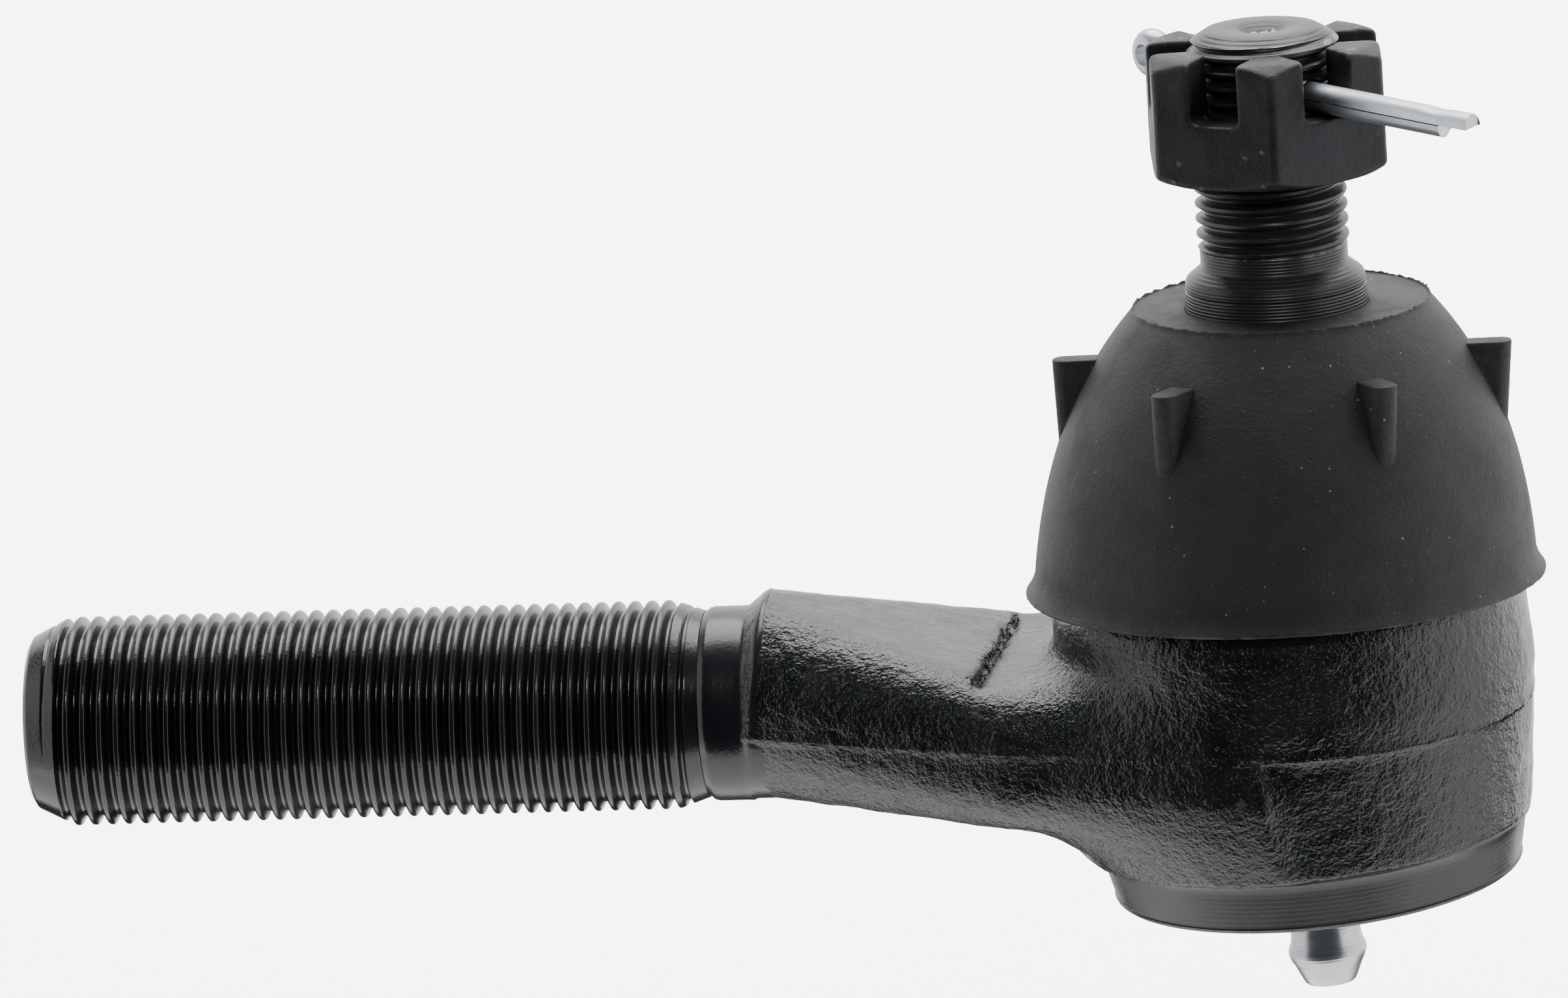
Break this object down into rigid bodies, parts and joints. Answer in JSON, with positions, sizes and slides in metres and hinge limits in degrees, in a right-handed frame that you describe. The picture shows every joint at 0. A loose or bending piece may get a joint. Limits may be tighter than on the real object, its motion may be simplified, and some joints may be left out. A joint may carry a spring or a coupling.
{
  "type": "tie rod end",
  "caption": "Outer tie rod end: forged socket with a left-hand threaded shank, tapered ball stud, castle nut, cotter pin, bell-shaped dust boot and grease fitting.",
  "frame": {"origin": "centre of the ball, on the shank axis", "axes": "-X along the shank to its threaded end; +Z square to the shank in the plane that holds the housing axis, towards the stud; +Y completes the frame"},
  "size_m": [0.1276, 0.043, 0.0816],
  "materials": {
    "forging": "gloss black paint over forged scale, turned thread and lip",
    "sintered_bearing": "oiled sintered iron",
    "spring_steel": "oiled spring wire",
    "cover_steel": "satin grey-black",
    "bright_zinc": "bright zinc plate with turning and drawing lines",
    "polished_steel": "polished",
    "boot_rubber": "matt moulded rubber with fine grain",
    "oxide_steel": "brown-black oxide over turned steel",
    "phosphate_steel": "matt blue-black phosphate, worn on its edges"
  },
  "bodies": {
    "socket": {"socket_forging": "forging", "upper_bearing": "sintered_bearing", "preload_spring": "spring_steel", "cover_plate": "cover_steel", "grease_fitting": "bright_zinc", "fitting_spring": "spring_steel"},
    "seat": {"lower_bearing": "sintered_bearing"},
    "boot": {"dust_boot": "boot_rubber"},
    "stud": {"ball_stud": "oxide_steel", "castle_nut": "phosphate_steel"},
    "pin": {"cotter_pin": "bright_zinc"},
    "valve": {"fitting_ball": "polished_steel"}
  },
  "joints": [
    {"name": "seat_turn", "type": "hinge", "parent": "socket", "child": "seat", "pos_m": [0, 0, 0], "axis": [-0.0488, 0, 0.9988], "continuous": true},
    {"name": "stud_swing", "type": "hinge", "parent": "seat", "child": "boot", "pos_m": [0, 0, 0], "axis": [-0.7521, 0.658, -0.0368], "range_deg": [-24.25, 15.75], "deforming": ["dust_boot"]},
    {"name": "stud_turn", "type": "hinge", "parent": "boot", "child": "stud", "pos_m": [0, 0, 0], "axis": [0, 0.0558, 0.9984], "continuous": true},
    {"name": "pin_pull", "type": "slide", "parent": "stud", "child": "pin", "axis": [-0.7124, 0.7007, -0.0392], "range_m": [0, 0.045]},
    {"name": "valve_lift", "type": "slide", "parent": "socket", "child": "valve", "axis": [-0.0488, 0, 0.9988], "range_m": [0, 0.0005], "stiffness_N_per_m": 300, "springref_m": -0.0005, "deforming": ["fitting_spring"]}
  ]
}
